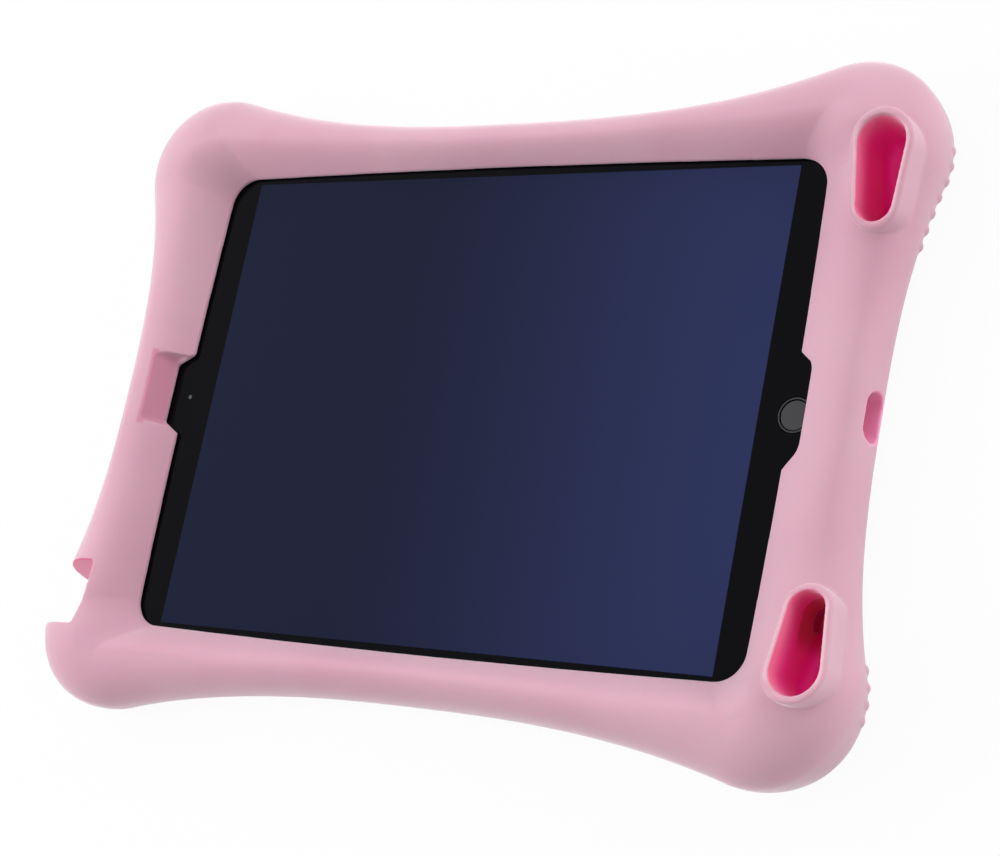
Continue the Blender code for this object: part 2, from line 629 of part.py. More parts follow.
def make_screen():
    """Cover glass with a hole for the home button, and the display panel under it."""
    half_x = SIDE_INSIDE_X - FIT
    half_y = HALF_WIDTH - HOUSING_WALL - FIT
    glass = finish(box((-half_x, -half_y, GLASS_BOTTOM), (half_x, half_y, GLASS_TOP),
                       TABLET_CORNER_RADIUS - HOUSING_WALL - FIT), "cover_glass", "black glass")
    hole = HOME_BUTTON_DIAMETER / 2 + HOME_RING_WIDTH + 2 * FIT
    combine(glass, rod((HOME_BUTTON_X, 0, GLASS_TOP), hole, GLASS_THICKNESS * 4),
            "home_button_hole")
    top = GLASS_BOTTOM - FIT
    finish(box((-PANEL_LENGTH / 2, -PANEL_WIDTH / 2, top - PANEL_THICKNESS),
               (PANEL_LENGTH / 2, PANEL_WIDTH / 2, top), FIT * 4, 2), "display_panel", "display")


def make_home_button():
    """Round button in its trim ring, over the switch that it presses."""
    radius = HOME_BUTTON_DIAMETER / 2
    top = GLASS_TOP - FIT / 2
    centre = Vector((HOME_BUTTON_X, 0, top - HOME_BUTTON_THICKNESS / 2))
    disc = rod(centre, radius, HOME_BUTTON_THICKNESS)
    rim = [e for e in disc.edges if all(v.co.z > centre.z for v in e.verts)]
    bmesh.ops.bevel(disc, geom=rim, offset=FIT, segments=2, profile=0.5, affect="EDGES")
    finish(disc, "home_button", "dark plastic", centre)
    outer = radius + FIT + HOME_RING_WIDTH
    middle = Vector((HOME_BUTTON_X, 0, (GLASS_TOP + GLASS_BOTTOM) / 2))
    ring = finish(rod(middle, outer, GLASS_THICKNESS), "home_button_ring", "steel trim", middle)
    combine(ring, rod(middle, radius + FIT, GLASS_THICKNESS * 2), "home_ring_bore")
    rest = top - HOME_BUTTON_THICKNESS - HOME_BUTTON_TRAVEL - FIT
    base = SEAT + BOARD_THICKNESS
    dome = HOME_SWITCH_DOME / 2
    edge = HOME_BUTTON_X + dome + FIT
    switch = finish(box((edge - HOME_SWITCH_LENGTH, -HOME_SWITCH_WIDTH / 2, SEAT),
                        (edge, HOME_SWITCH_WIDTH / 2, base), FIT * 3, 2),
                    "home_button_switch", "board")
    combine(switch, rod((HOME_BUTTON_X, 0, (SEAT + FIT + rest) / 2), dome, rest - SEAT - FIT,
                        segments=SMALL_SEGMENTS), "switch_dome", "UNION")


def make_keys():
    """Side keys with softened outer edges."""
    for name, (low, high) in key_boxes().items():
        along = 1 if name == "power_button" else 0
        key = box(low, high, KEY_HEIGHT * 0.45, 4, axis=1 - along)
        finish(key, name, "anodised aluminium", (low + high) / 2)


def make_cameras():
    """Front camera under the glass, and the rear camera behind its lens and trim ring."""
    half = FRONT_CAMERA_SIZE / 2
    top = GLASS_BOTTOM - FIT
    finish(box((FRONT_CAMERA_X - half, -half, top - FRONT_CAMERA_HEIGHT),
               (FRONT_CAMERA_X + half, half, top), FIT * 3, 2), "front_camera", "dark plastic")
    half = REAR_CAMERA_SIZE / 2
    base = SEAT + FIT
    finish(box((REAR_CAMERA_X - half, REAR_CAMERA_Y - half, base),
               (REAR_CAMERA_X + half, REAR_CAMERA_Y + half, base + REAR_CAMERA_HEIGHT),
               FIT * 3, 2), "rear_camera", "dark plastic")
    radius = REAR_LENS_DIAMETER / 2
    depth = base - FIT - TABLET_BOTTOM
    middle = Vector((REAR_CAMERA_X, REAR_CAMERA_Y, TABLET_BOTTOM + depth / 2))
    finish(rod(middle, radius, depth), "rear_camera_lens", "black glass", middle)
    trim = finish(rod(middle, radius + FIT + REAR_TRIM_WIDTH, depth), "rear_camera_trim",
                  "steel trim", middle)
    combine(trim, rod(middle, radius + FIT, depth * 2), "rear_trim_bore")


def make_sockets():
    """Charging socket and headphone socket, open towards the tablet's edge."""
    outer = SIDE_INSIDE_X - FIT
    mouth_y, mouth_z = PORT_MOUTH_LENGTH / 2, PORT_MOUTH_HEIGHT / 2
    shell_y, shell_z = mouth_y + PORT_SHELL_WALL, mouth_z + PORT_SHELL_WALL
    shell = finish(box((outer - PORT_DEPTH - PORT_SHELL_WALL, -shell_y, TABLET_MID - shell_z),
                       (outer, shell_y, TABLET_MID + shell_z), shell_z * 0.9, axis=0),
                   "charging_socket", "steel trim")
    combine(shell, box((outer - PORT_DEPTH, -mouth_y, TABLET_MID - mouth_z),
                       (outer + FIT, mouth_y, TABLET_MID + mouth_z), mouth_z * 0.98, axis=0),
            "charging_socket_bore")
    centre = Vector((JACK_LENGTH / 2 - outer, JACK_Y, TABLET_MID))
    barrel = finish(rod(centre, JACK_BARREL / 2, JACK_LENGTH, "X"), "headphone_socket",
                    "dark plastic", centre)
    combine(barrel, rod(centre - Vector((PORT_SHELL_WALL, 0, 0)), JACK_BORE / 2, JACK_LENGTH, "X",
                        SMALL_SEGMENTS), "headphone_socket_bore")


def make_insides():
    """Two speakers behind the grille holes, two battery cells and the logic board."""
    outer = SIDE_INSIDE_X - FIT
    for side, name in ((1, "upper_speaker"), (-1, "lower_speaker")):
        middle = side * SPEAKER_Y
        finish(box((outer - SPEAKER_DEPTH, middle - SPEAKER_LENGTH / 2, SEAT),
                   (outer, middle + SPEAKER_LENGTH / 2, SEAT + SPEAKER_HEIGHT), FIT * 5, 3),
               name, "dark plastic")
    right = PANEL_LENGTH / 2 - INSIDE_GAP
    for name in ("right_battery", "left_battery"):
        finish(box((right - BATTERY_LENGTH, -INSIDE_WIDTH / 2, SEAT),
                   (right, INSIDE_WIDTH / 2, SEAT + BATTERY_THICKNESS), BATTERY_THICKNESS, 3),
               name, "cell foil")
        right -= BATTERY_LENGTH + INSIDE_GAP
    board = finish(box((right - BOARD_LENGTH, -INSIDE_WIDTH / 2, SEAT),
                       (right, INSIDE_WIDTH / 2, SEAT + BOARD_THICKNESS)), "logic_board", "board")
    reach = INSIDE_WIDTH / 4 - SHIELD_INSET
    for name, middle in (("upper_shield", INSIDE_WIDTH / 4), ("lower_shield", -INSIDE_WIDTH / 4)):
        can = box((right - BOARD_LENGTH + SHIELD_INSET, middle - reach, SEAT + BOARD_THICKNESS / 2),
                  (right - SHIELD_INSET, middle + reach, SEAT + BOARD_THICKNESS + SHIELD_HEIGHT),
                  FIT * 3, 2)
        combine(board, can, name, "UNION")


clear_scene()
product = new_collection("kids_tablet_case")
cutters = new_collection("cutters")
make_case()
make_housing()
make_screen()
make_home_button()
make_keys()
make_cameras()
make_sockets()
make_insides()
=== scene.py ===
import json
import math

import bmesh
import bpy
from mathutils import Matrix, Vector

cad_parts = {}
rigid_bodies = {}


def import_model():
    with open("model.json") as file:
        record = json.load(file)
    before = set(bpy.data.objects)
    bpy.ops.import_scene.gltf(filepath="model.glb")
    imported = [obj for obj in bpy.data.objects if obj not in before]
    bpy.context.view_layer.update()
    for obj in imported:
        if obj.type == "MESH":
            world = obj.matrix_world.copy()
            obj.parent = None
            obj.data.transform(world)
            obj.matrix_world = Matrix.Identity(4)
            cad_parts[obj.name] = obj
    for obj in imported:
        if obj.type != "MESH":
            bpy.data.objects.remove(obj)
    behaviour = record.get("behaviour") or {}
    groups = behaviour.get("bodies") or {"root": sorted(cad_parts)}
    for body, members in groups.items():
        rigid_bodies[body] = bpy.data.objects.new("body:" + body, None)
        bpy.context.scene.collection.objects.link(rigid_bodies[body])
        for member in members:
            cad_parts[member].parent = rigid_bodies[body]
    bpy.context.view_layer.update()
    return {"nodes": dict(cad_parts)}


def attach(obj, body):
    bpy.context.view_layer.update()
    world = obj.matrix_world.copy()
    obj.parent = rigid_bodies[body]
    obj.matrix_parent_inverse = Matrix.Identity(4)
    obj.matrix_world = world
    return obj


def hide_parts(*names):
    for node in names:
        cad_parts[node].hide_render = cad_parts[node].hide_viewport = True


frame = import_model()

mainBody = "case_and_tablet"


# Shader maths

class Wire:  # a shader's socket, for use in sums
    def __init__(self, nodes, socket):
        self.nodes = nodes
        self.socket = socket

    def sum(self, operation, *terms):
        return self.nodes.node("ShaderNodeMath", {"operation": operation}, dict(enumerate(terms)))

    def __add__(self, other):
        return self.sum("ADD", self, other)

    def __radd__(self, other):
        return self.sum("ADD", other, self)

    def __sub__(self, other):
        return self.sum("SUBTRACT", self, other)

    def __rsub__(self, other):
        return self.sum("SUBTRACT", other, self)

    def __mul__(self, other):
        return self.sum("MULTIPLY", self, other)

    def __rmul__(self, other):
        return self.sum("MULTIPLY", other, self)

    def __truediv__(self, other):
        return self.sum("DIVIDE", self, other)

    def __neg__(self):
        return self * -1

    def __pow__(self, other):
        return self.sum("POWER", self, other)

    def __abs__(self):
        return self.sum("ABSOLUTE", self)

    def atLeast(self, other):
        return self.sum("MAXIMUM", self, other)

    def atMost(self, other):
        return self.sum("MINIMUM", self, other)

    def rise(self, low, high):  # 0 below low, 1 above high, smooth between
        return self.nodes.node("ShaderNodeMapRange", {"interpolation_type": "SMOOTHSTEP"},
                               {"Value": self, "From Min": low, "From Max": high})


class Nodes:  # a node tree that nodes are added to
    def __init__(self, tree):
        self.tree = tree

    def node(self, kind, settings=None, sockets=None, output=0):
        made = self.tree.nodes.new(kind)
        for name, setting in (settings or {}).items():
            setattr(made, name, setting)
        for name, term in (sockets or {}).items():
            if isinstance(term, Wire):
                self.tree.links.new(term.socket, made.inputs[name])
            else:
                made.inputs[name].default_value = term
        return Wire(self, made.outputs[output])


class Finish(Nodes):  # a material with one Principled shader
    def __init__(self, name, **sockets):
        self.material = bpy.data.materials.new(name)
        self.material.use_nodes = True
        super().__init__(self.material.node_tree)
        self.main = self.tree.nodes["Principled BSDF"]
        for socket, value in sockets.items():
            self.main.inputs[socket.replace("_", " ")].default_value = value
        self.place = self.node("ShaderNodeTexCoord", output="Object")
        self.x, self.y, self.z = (
            self.node("ShaderNodeSeparateXYZ", sockets={0: self.place}, output=i) for i in range(3))

    def noise(self, scale, detail=2.0):
        return self.node("ShaderNodeTexNoise", None,
                         {"Vector": self.place, "Scale": scale, "Detail": detail})

    def mix(self, share, low, high):
        low, high = ((*c, 1.0) if isinstance(c, tuple) else c for c in (low, high))
        return self.node("ShaderNodeMix", {"data_type": "RGBA"}, {0: share, 6: low, 7: high}, 2)

    def feed(self, socket, wire):
        self.tree.links.new(wire.socket, self.main.inputs[socket])

    def roughen(self, middle, spread, scale):
        self.feed("Roughness", middle - spread / 2 + spread * self.noise(scale))

    def bump(self, height, distance):
        self.feed("Normal", self.node("ShaderNodeBump", None, {
            "Height": height, "Distance": distance, "Strength": 0.5}))


# Case: the solid's shape skinned finely, with a sharper corner in the headphone notch

caseSettings = {
    "fit": 0.0003, "glassTop": 0.0104, "floor": 0.0026, "lipUnder": 0.0107, "lipTop": 0.0119,
    "window": (0.1142, 0.0796, 0.0095), "windowBow": 0.0010,
    "pocket": (0.1256, 0.08735, 0.0098),
    "corner": (0.1212, 0.08030), "cornerRadius": 0.0283, "waist": (0.1402, 0.0960),
    "shortPower": 2.7, "longPower": 2.6, "shift": 0.0006,
    "crest": (0.0090, 0.0162), "crestInset": (0.0078, 0.0195),
    "widest": (0.0074, 0.0132), "backInset": (0.0078, 0.0030),
    "reach": 0.0470, "peak": 0.70,
    "sideSteps": (26, 46, 40), "backSteps": 10, "frontSteps": 18, "slopeSteps": 14,
    "voxel": 0.00034, "quickVoxel": 2.0, "softness": (0.5, 11), "triangles": 194000,
    "halvings": 50,
}

tiny, aligned = 0.0001, 0.99  # metres, and the cosine of nearly no angle

hornSettings = {
    "wide": Vector((0.1376, 0.0770)), "wideRadius": 0.0076,
    "narrow": Vector((0.1367, 0.0596)), "narrowRadius": 0.0057,
    "rim": (0.0286, 0.0254), "rimWidth": 0.0012, "rimRound": 0.0010, "flank": 0.0022,
    "taper": 0.0008, "floor": (0.0090, 0.0034), "floorRound": 0.0035,
    "steps": 40, "rimSteps": 8,
}

cutSettings = {
    "homeNotch": (0.1214, 0.0354, 0.0260), "cameraNotch": (-0.1215, 0.0280, 0.0204),
    "notchY": 0.0010, "notchRadius": 0.0020,
    "scoop": ((-0.1262, -0.0112, 0.0122), (-0.1118, 0.0142, 0.0448)), "scoopRadius": 0.0024,
    "scoopRise": 0.0060,
    "port": ((0.1244, -0.0076, 0.0054), (0.1650, 0.0076, 0.0138)), "portRadius": 0.00419,
    "jack": ((-0.1650, -0.0838, -0.0026), (-0.1287, -0.0622, 0.0448)), "jackRadius": 0.0012,
    "jackLean": 0.23, "jackLeanFrom": 0.0194,
    "jackHole": (-0.1280, -0.0722, 0.00665, 0.0040), "jackHoleDepth": 0.0072,
    "cameraHole": (-0.1130, 0.0745, 0.0070), "cameraHoleDepth": 0.0080,
    "channel": ((0.1244, 0.0539, 0.00485), (0.1367, 0.0619, 0.00845)), "channelRadius": 0.0012,
    "ribs": ((1, 0.0535, 7), (-1, 0.0705, 4)), "ribPitch": 0.0050, "ribRadius": 0.0020,
    "ribInset": 0.0003, "ribHeight": (0.0028, 0.0085), "ribRound": 0.0009,
    "above": 0.0450, "bevelSteps": 8, "holeSteps": 48, "ribSteps": (24, 4),
}


def blend(low, high, share):
    return low + (high - low) * share


def sideMeetsCorner(along0, across0, waist, power):  # where a side's curve touches the corner's arc
    low, high = 0.01, 1.2  # radians, halved until they meet
    for _ in range(caseSettings["halvings"]):
        angle = (low + high) / 2
        along = along0 - caseSettings["cornerRadius"] * math.sin(angle)
        across = across0 + caseSettings["cornerRadius"] * math.cos(angle)
        depth = (across - waist) / along ** power
        if depth * power * along ** (power - 1) > math.tan(angle):
            low = angle
        else:
            high = angle
    return angle, along, depth


def quarterStations():
    cornerX, cornerY = caseSettings["corner"]
    waistX, waistY = caseSettings["waist"]
    shortSteps, cornerSteps, longSteps = caseSettings["sideSteps"]
    shortPower, longPower = caseSettings["shortPower"], caseSettings["longPower"]
    shortAngle, shortEnd, shortDepth = sideMeetsCorner(cornerY, cornerX, waistX, shortPower)
    longAngle, longEnd, longDepth = sideMeetsCorner(cornerX, cornerY, waistY, longPower)
    stations = []
    for step in range(shortSteps):
        share = step / shortSteps
        y = shortEnd * share
        stations.append((waistX + shortDepth * y ** shortPower, y,
                         lambda hx, hy, r, bow, s=share: (hx + bow * (1 - s * s), (hy - r) * s)))
    for step in range(cornerSteps + 1):
        share = step / cornerSteps
        angle = blend(-shortAngle, math.pi / 2 + longAngle, share)
        stations.append((cornerX + caseSettings["cornerRadius"] * math.cos(angle),
                         cornerY + caseSettings["cornerRadius"] * math.sin(angle),
                         lambda hx, hy, r, bow, a=share * math.pi / 2: (
                             hx - r + r * math.cos(a), hy - r + r * math.sin(a))))
    for step in range(1, longSteps + 1):
        share = 1 - step / longSteps
        x = longEnd * share
        stations.append((x, waistY + longDepth * x ** longPower,
                         lambda hx, hy, r, bow, s=share: ((hx - r) * s, hy + bow * (1 - s * s))))
    return stations


def caseStations():
    quarter = quarterStations()
    ring = []
    for flipX, flipY in ((1, 1), (-1, 1), (-1, -1), (1, -1)):
        part = quarter[:-1] if flipX * flipY > 0 else quarter[:0:-1]
        ring += [(x * flipX, y * flipY, flipX, flipY, rule) for x, y, rule in part]
    peakX = caseSettings["corner"][0] + caseSettings["peak"] * caseSettings["cornerRadius"]
    peakY = caseSettings["corner"][1] + caseSettings["peak"] * caseSettings["cornerRadius"]
    stations = []
    for i, (x, y, flipX, flipY, rule) in enumerate(ring):
        before, after = ring[i - 1], ring[(i + 1) % len(ring)]
        along = Vector((after[0] - before[0], after[1] - before[1])).normalized()
        distance = math.hypot(abs(x) - peakX, abs(y) - peakY)
        nearness = math.exp(-(distance / caseSettings["reach"]) ** 2)
        stations.append((Vector((x + caseSettings["shift"], y)), Vector((-along.y, along.x)), nearness,
                         flipX, flipY, rule))
    return stations


def caseRings():
    rings = []
    for outline, inward, nearness, flipX, flipY, rule in caseStations():
        crest = caseSettings["glassTop"] + blend(*caseSettings["crest"], nearness)
        crestInset = blend(*caseSettings["crestInset"], nearness)
        widest = blend(*caseSettings["widest"], nearness)
        backInset = blend(*caseSettings["backInset"], nearness)
        lip = rule(*caseSettings["window"], caseSettings["windowBow"])
        lip = Vector((lip[0] * flipX, lip[1] * flipY))
        pocket = rule(*caseSettings["pocket"], 0.0)
        pocket = Vector((pocket[0] * flipX, pocket[1] * flipY))
        points = []
        for step in range(caseSettings["backSteps"] + 1):
            turn = math.pi / 2 * (1 - step / caseSettings["backSteps"])
            points.append((outline + inward * backInset * (1 - math.cos(turn)),
                           widest * (1 - math.sin(turn))))
        for step in range(1, caseSettings["frontSteps"] + 1):
            turn = math.pi / 2 * (1 - step / caseSettings["frontSteps"])
            points.append((outline + inward * crestInset * (1 - math.sin(turn)),
                           widest + (crest - widest) * math.cos(turn)))
        top = outline + inward * crestInset
        for step in range(1, caseSettings["slopeSteps"] + 1):
            share = 1 - step / caseSettings["slopeSteps"]
            points.append((lip.lerp(top, share),
                           blend(caseSettings["lipTop"], crest, math.sin(math.pi / 2 * share))))
        points += [(lip, caseSettings["lipUnder"]), (pocket, caseSettings["lipUnder"]),
                   (pocket, caseSettings["floor"])]
        rings.append([(place.x, place.y, height) for place, height in points])
    return [list(ring) for ring in zip(*rings)]


def loft(rings):
    shape = bmesh.new()
    rows = [[shape.verts.new(point) for point in ring] for ring in rings]
    for row, following in zip(rows, rows[1:]):
        for i in range(len(row)):
            j = (i + 1) % len(row)
            shape.faces.new((row[i], row[j], following[j], following[i]))
    shape.faces.new(rows[0][::-1])
    shape.faces.new(rows[-1])
    return shape


def block(low, high, radius, axis=2):
    low, high = Vector(low), Vector(high)
    shape = bmesh.new()
    bmesh.ops.create_cube(shape, size=1.0)
    bmesh.ops.scale(shape, verts=shape.verts, vec=high - low)
    bmesh.ops.translate(shape, verts=shape.verts, vec=(low + high) / 2)
    along = [e for e in shape.edges
             if abs((e.verts[0].co - e.verts[1].co).normalized()[axis]) > aligned]
    bmesh.ops.bevel(shape, geom=along, offset=radius, segments=cutSettings["bevelSteps"],
                    profile=0.5, affect="EDGES")
    return shape


def rod(centre, radius, length, axis="Z", segments=cutSettings["holeSteps"]):
    turn = {"X": Matrix.Rotation(math.pi / 2, 4, "Y"), "Z": Matrix.Identity(4)}[axis]
    shape = bmesh.new()
    bmesh.ops.create_cone(shape, cap_ends=True, segments=segments, radius1=radius, radius2=radius,
                          depth=length, matrix=Matrix.Translation(centre) @ turn)
    return shape


def hornRing(side, margin, heightWide, heightNarrow):
    way = hornSettings["wide"] - hornSettings["narrow"]
    lean = math.asin((hornSettings["wideRadius"] - hornSettings["narrowRadius"]) / way.length)
    heading = math.atan2(way.y, way.x)
    quarter = math.pi / 2
    ends = (
        (hornSettings["wide"], hornSettings["wideRadius"], heading - quarter - lean, math.pi + 2 * lean),
        (hornSettings["narrow"], hornSettings["narrowRadius"], heading + quarter + lean,
         math.pi - 2 * lean),
    )
    ring = []
    for centre, radius, start, sweep in ends:
        for step in range(hornSettings["steps"] + 1):
            angle = start + sweep * step / hornSettings["steps"]
            x = centre.x + (radius + margin) * math.cos(angle)
            y = centre.y + (radius + margin) * math.sin(angle)
            share = (y - hornSettings["narrow"].y) / way.y
            ring.append((x, y * side, blend(heightNarrow, heightWide, share)))
    return ring if side > 0 else ring[::-1]


def hornCollar(side):
    wide, narrow = hornSettings["rim"]
    foot = caseSettings["widest"][1]
    rings = [hornRing(side, hornSettings["flank"], foot, foot)]
    for step in range(hornSettings["rimSteps"] + 1):
        turn = math.pi / 2 * step / hornSettings["rimSteps"]
        margin = hornSettings["rimWidth"] + hornSettings["rimRound"] * math.cos(turn)
        drop = hornSettings["rimRound"] * (1 - math.sin(turn))
        rings.append(hornRing(side, margin, wide - drop, narrow - drop))
    return loft(rings)


def hornBore(side):
    wideFloor, narrowFloor = hornSettings["floor"]
    rings = []
    for step in range(hornSettings["rimSteps"] + 1):
        turn = math.pi / 2 * step / hornSettings["rimSteps"]
        margin = -hornSettings["taper"] - hornSettings["floorRound"] * (1 - math.sin(turn))
        rise = hornSettings["floorRound"] * (1 - math.cos(turn))
        rings.append(hornRing(side, margin, wideFloor + rise, narrowFloor + rise))
    rings.append(hornRing(side, 0.0, *hornSettings["rim"]))
    rings.append(hornRing(side, 0.0, cutSettings["above"], cutSettings["above"]))
    return loft(rings)


def lipNotch(outerX, innerLength, outerLength):
    windowX = caseSettings["window"][0] + caseSettings["windowBow"]
    radius = cutSettings["notchRadius"]
    mouth = math.copysign(windowX - radius, outerX)
    slant = (innerLength - outerLength) / (abs(outerX) - windowX)
    mouthLength = innerLength + slant * radius
    foot = caseSettings["glassTop"] + caseSettings["fit"] / 2
    shape = bmesh.new()
    bmesh.ops.create_cube(shape, size=2.0)
    for vert in shape.verts:
        outside = vert.co.x > 0
        vert.co.y = cutSettings["notchY"] + vert.co.y * (outerLength if outside else mouthLength) / 2
        vert.co.x = outerX if outside else mouth
        vert.co.z = cutSettings["above"] if vert.co.z > 0 else foot
    corners = [e for e in shape.edges
               if all(abs(v.co.x - outerX) < tiny for v in e.verts)
               and abs(e.verts[0].co.z - e.verts[1].co.z) > tiny]
    bmesh.ops.bevel(shape, geom=corners, offset=radius, segments=cutSettings["bevelSteps"],
                    profile=0.5, affect="EDGES")
    return shape


def ribs():
    stations = caseStations()[:sum(caseSettings["sideSteps"][:2])]
    low, high = cutSettings["ribHeight"]
    radius = cutSettings["ribRadius"]
    roundSteps, endSteps = cutSettings["ribSteps"]
    made = []
    for side, first, count in cutSettings["ribs"]:
        for i in range(count):
            y = first + cutSettings["ribPitch"] * i
            before, after = next((a[0], b[0]) for a, b in zip(stations, stations[1:]) if b[0].y > y)
            along = (after - before).normalized()
            centre = (before.lerp(after, (y - before.y) / (after.y - before.y))
                      + Vector((-along.y, along.x)) * (radius + cutSettings["ribInset"]))
            rib = rod((centre.x, side * centre.y, (low + high) / 2), radius, high - low,
                      segments=roundSteps)
            ends = [e for e in rib.edges if abs(e.verts[0].co.z - e.verts[1].co.z) < tiny]
            bmesh.ops.bevel(rib, geom=ends, offset=cutSettings["ribRound"], segments=endSteps,
                            profile=0.5, affect="EDGES")
            made.append(rib)
    return made


def solid(shape, name):
    mesh = bpy.data.meshes.new(name)
    bmesh.ops.recalc_face_normals(shape, faces=shape.faces)
    shape.to_mesh(mesh)
    shape.free()
    return bpy.data.objects.new(name, mesh)


def gather(shapes, name):
    group = bpy.data.collections.new(name)
    for i, shape in enumerate(shapes):
        group.objects.link(solid(shape, f"{name}_{i}"))
    bpy.context.scene.collection.children.link(group)
    return group


def settle(thing):
    bpy.context.view_layer.update()
    shown = thing.evaluated_get(bpy.context.evaluated_depsgraph_get())
    mesh = bpy.data.meshes.new_from_object(shown)
    thing.modifiers.clear()
    old = thing.data
    thing.data = mesh
    bpy.data.meshes.remove(old)
    mesh.name = thing.name


def discard(group):
    for thing in list(group.objects):
        mesh = thing.data
        bpy.data.objects.remove(thing)
        bpy.data.meshes.remove(mesh)
    bpy.data.collections.remove(group)


def jackNotch():  # its wall towards the middle leans outwards
    notch = block(*cutSettings["jack"], cutSettings["jackRadius"])
    for vert in notch.verts:
        if vert.co.y > cutSettings["jackHole"][1]:
            vert.co.y += cutSettings["jackLean"] * (vert.co.z - cutSettings["jackLeanFrom"])
    return notch


def cameraScoop():  # its outer wall is a ramp
    scoop = block(*cutSettings["scoop"], cutSettings["scoopRadius"])
    outer, foot = cutSettings["scoop"][0][0], cutSettings["scoop"][0][2]
    notchX = cutSettings["cameraNotch"][0]
    for vert in scoop.verts:
        if vert.co.x < notchX:
            vert.co.x += (notchX - outer) * (1 - (vert.co.z - foot) / cutSettings["scoopRise"])
    return scoop


def soundChannel(side):
    (x0, y0, z0), (x1, y1, z1) = cutSettings["channel"]
    y0, y1 = sorted((y0 * side, y1 * side))
    return block((x0, y0, z0), (x1, y1, z1), cutSettings["channelRadius"], 0)


def caseCuts():
    holeX, holeY, holeZ, holeRadius = cutSettings["jackHole"]
    cameraX, cameraY, cameraRadius = cutSettings["cameraHole"]
    return [
        hornBore(1), hornBore(-1),
        lipNotch(*cutSettings["homeNotch"]), lipNotch(*cutSettings["cameraNotch"]),
        cameraScoop(), block(*cutSettings["port"], cutSettings["portRadius"], 0), jackNotch(),
        rod((holeX, holeY, holeZ), holeRadius, cutSettings["jackHoleDepth"], "X"),
        rod((cameraX, cameraY, 0.0), cameraRadius, cutSettings["cameraHoleDepth"]),
        soundChannel(1), soundChannel(-1),
    ]


def buildCase():
    case = solid(loft(caseRings()), "soft_case")
    bpy.context.scene.collection.objects.link(case)
    joined = gather([hornCollar(1), hornCollar(-1), *ribs()], "joined")
    cut = gather(caseCuts(), "cut")
    for group, operation in ((joined, "UNION"), (cut, "DIFFERENCE")):
        for tool in group.objects:
            step = case.modifiers.new(tool.name, "BOOLEAN")
            step.operation = operation
            step.object = tool
    settle(case)
    discard(joined)
    discard(cut)
    print("case cut:", len(case.data.polygons))
    remesh = case.modifiers.new("remesh", "REMESH")
    remesh.mode = "VOXEL"
    remesh.voxel_size = caseSettings["voxel"] * 1.0
    settle(case)
    print("case remeshed:", len(case.data.polygons))
    smooth = case.modifiers.new("smooth", "SMOOTH")
    smooth.factor, smooth.iterations = caseSettings["softness"]
    thin = case.modifiers.new("thin", "DECIMATE")
    thin.ratio = min(1.0, caseSettings["triangles"] / (2 * len(case.data.polygons)))
    settle(case)
    case.data.shade_smooth()
    print("case softened:", len(case.data.polygons))
    return case


# Materials

# The silicone's colours: light and deep are its own random mottle; the others are painted glow, shade,
# shadow and highlight in the cut-outs
siliconeSettings = {
    "light": (0.675, 0.395, 0.485), "deep": (0.635, 0.350, 0.442),
    "cavityGlow": (0.850, 0.195, 0.370), "deepestShade": (0.950, 0.024, 0.380), "mouth": (0.640, 0.000, 0.110),
    "edge": (0.860, 0.600, 0.680), "rampShade": (0.620, 0.255, 0.360), "jackWallShade": (0.680, 0.100, 0.260),
    "slotGlow": (1.000, 0.370, 0.600), "clouds": (14.0, 3.0), "cloudEdge": (0.35, 0.65),
    "roughness": (0.52, 0.10), "waves": 160.0, "waveHeight": 1.5, "grain": 2600.0, "grainDepth": 0.00003,
}

hornPaint = {  # starts and ends of the horns' painted highlight, glow, shade and shadow
    "outline": (0.0, 0.0005), "foot": (0.0016, 0.0028),
    "cavityGlow": (0.0001, 0.0008), "deepestShade": (0.0010, 0.0110),
    "highlightAt": 0.0006, "highlightWidth": (0.0003, 0.0008), "highlightDepth": (0.0004, 0.0010), "highlightShare": 0.5,
    "channelMouth": 0.0010, "channelReach": (0.0080, 0.0090),
    "channelFoot": (0.0040, 0.0044), "channelTop": (0.0088, 0.0092),
    "mouthTop": (0.0155, 0.0165), "mouthEnd": (0.0640, 0.0705), "mouthSide": (0.0, 0.0100),
}

cutPaint = {  # the same for the painted glow and shade in the other cut-outs
    "slotGlow": (0.0002, 0.0006), "slotFrom": (0.1240, 0.1250),
    "rampSide": (0.0002, 0.0010), "rampAway": (0.0004, 0.0013), "rampFoot": (-0.0004, 0.0006),
    "jackAway": (0.0002, 0.0006), "jackEnd": 0.0008,
}
